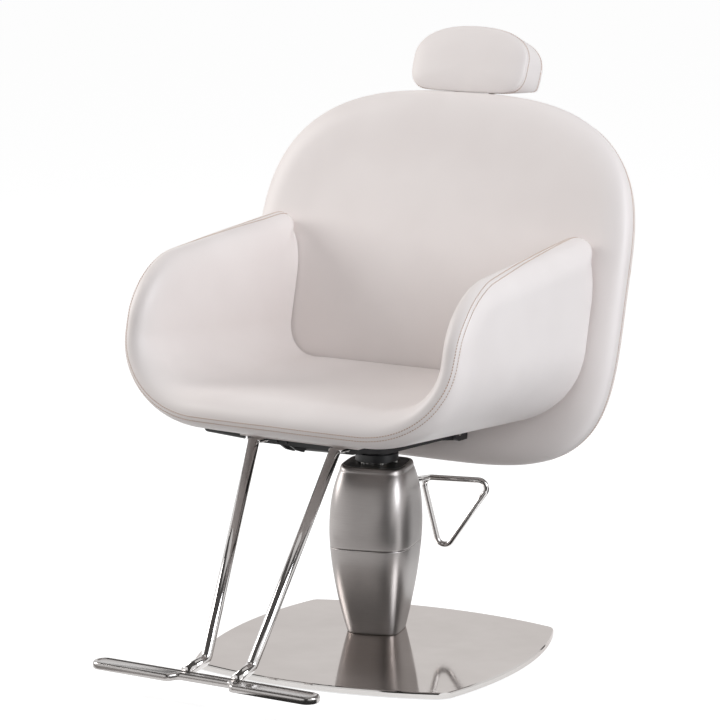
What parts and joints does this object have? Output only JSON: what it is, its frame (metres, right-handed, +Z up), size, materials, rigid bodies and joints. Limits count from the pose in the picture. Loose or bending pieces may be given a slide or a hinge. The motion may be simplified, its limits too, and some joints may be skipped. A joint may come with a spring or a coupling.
{
  "type": "threading chair",
  "caption": "Padded tub chair with a reclining shield-shaped back, sliding headrest, fixed footrest and foot-pumped swivel column on a flat bowed-square plate.",
  "frame": {"origin": "On the floor, on the swivel axis of the column.", "axes": "+Z up, along the swivel axis; the sitter faces -Y; +X is the sitter's left."},
  "size_m": [0.736, 0.9443, 1.0229],
  "materials": {
    "rubber_pad": "matt black rubber sheet",
    "plate_core": "dark mill steel",
    "polished_steel": "mirror-polished stainless steel",
    "pump_steel": "dark grey paint",
    "satin_steel": "satin stainless steel",
    "dark_cap": "dark moulded cap",
    "chrome_rod": "bright chrome",
    "foot_steel": "polished steel",
    "bronze": "plain bronze bush",
    "fastener": "zinc-plated steel",
    "black_frame": "black powder coat",
    "board": "plywood",
    "grip": "black moulded grip",
    "guide_steel": "plain steel tube",
    "vinyl": "off-white upholstery vinyl with a fine grain and tan topstitching",
    "vinyl_rear": "off-white upholstery vinyl"
  },
  "bodies": {
    "base": {"base_pad": "rubber_pad", "base_plate": "plate_core", "base_cover": "polished_steel", "pump_body": "pump_steel", "pump_bolts": "fastener", "column_cover_lower": "satin_steel", "column_cover_upper": "satin_steel", "column_cap": "dark_cap", "pedal_pin": "fastener"},
    "foot_pedal": {"pedal": "chrome_rod"},
    "plunger": {"pump_plunger": "chrome_rod"},
    "lift": {"lift_ram": "chrome_rod", "thrust_washer": "bronze"},
    "seat": {"swivel_hub": "black_frame", "bearing_collar": "black_frame", "collar_screws": "fastener", "hub_bolts": "fastener", "hub_nuts": "fastener", "seat_frame": "black_frame", "seat_board": "board", "board_screws": "fastener", "seat_tub": "vinyl", "footrest_tube_left": "chrome_rod", "footrest_tube_right": "chrome_rod", "foot_bar": "foot_steel", "footrest_bolts": "fastener", "hinge_pin_left": "fastener", "hinge_pin_right": "fastener", "gas_pin_front": "fastener"},
    "spring_cylinder": {"gas_cylinder": "black_frame"},
    "spring_rod": {"gas_rod": "chrome_rod"},
    "lever": {"release_lever": "chrome_rod", "release_grip": "grip"},
    "backrest": {"back_frame": "black_frame", "back_board": "board", "back_cushion": "vinyl", "back_shell": "vinyl_rear", "back_screws": "fastener", "crank_pin": "fastener", "headrest_guides": "guide_steel"},
    "headrest": {"headrest_posts": "chrome_rod", "headrest_plate": "plate_core", "headrest_cushion": "vinyl"}
  },
  "joints": [
    {"name": "pedal_press", "type": "hinge", "parent": "base", "child": "foot_pedal", "pos_m": [-0.01222, 0.04435, 0.238], "axis": [0.9641, 0.2656, 0], "range_deg": [-20, 0], "stiffness_Nm_per_rad": 6, "springref_deg": 11.46},
    {"name": "plunger_stroke", "type": "slide", "parent": "base", "child": "plunger", "axis": [0, 0, 1], "range_m": [-0.0052, 0]},
    {"name": "lift", "type": "slide", "parent": "base", "child": "lift", "axis": [0, 0, 1], "range_m": [0, 0.16]},
    {"name": "swivel", "type": "hinge", "parent": "lift", "child": "seat", "pos_m": [0, 0, 0.3], "axis": [0, 0, 1], "continuous": true},
    {"name": "recline", "type": "hinge", "parent": "seat", "child": "backrest", "pos_m": [0, 0.088, 0.352], "axis": [-1, 0, 0], "range_deg": [0, 35]},
    {"name": "spring_swing", "type": "hinge", "parent": "seat", "child": "spring_cylinder", "pos_m": [-0.051, -0.17, 0.362], "axis": [1, 0, 0], "range_deg": [-3, 3]},
    {"name": "spring_stroke", "type": "slide", "parent": "spring_cylinder", "child": "spring_rod", "axis": [0, 0.9741, -0.2263], "range_m": [-0.035, 0.001]},
    {"name": "lever_lift", "type": "hinge", "parent": "seat", "child": "lever", "pos_m": [-0.051, -0.206, 0.3745], "axis": [1, 0, 0], "range_deg": [-8, 0], "stiffness_Nm_per_rad": 1.5, "springref_deg": 20.05},
    {"name": "headrest_height", "type": "slide", "parent": "backrest", "child": "headrest", "axis": [0, 0.3584, 0.9336], "range_m": [0, 0.06]}
  ],
  "couplings": [
    {"joint": "plunger_stroke", "follows": "pedal_press", "m_per_rad": 0.0135},
    {"joint": "spring_swing", "follows": "recline", "ratio": 0.0229},
    {"joint": "spring_stroke", "follows": "recline", "m_per_rad": -0.0478}
  ]
}
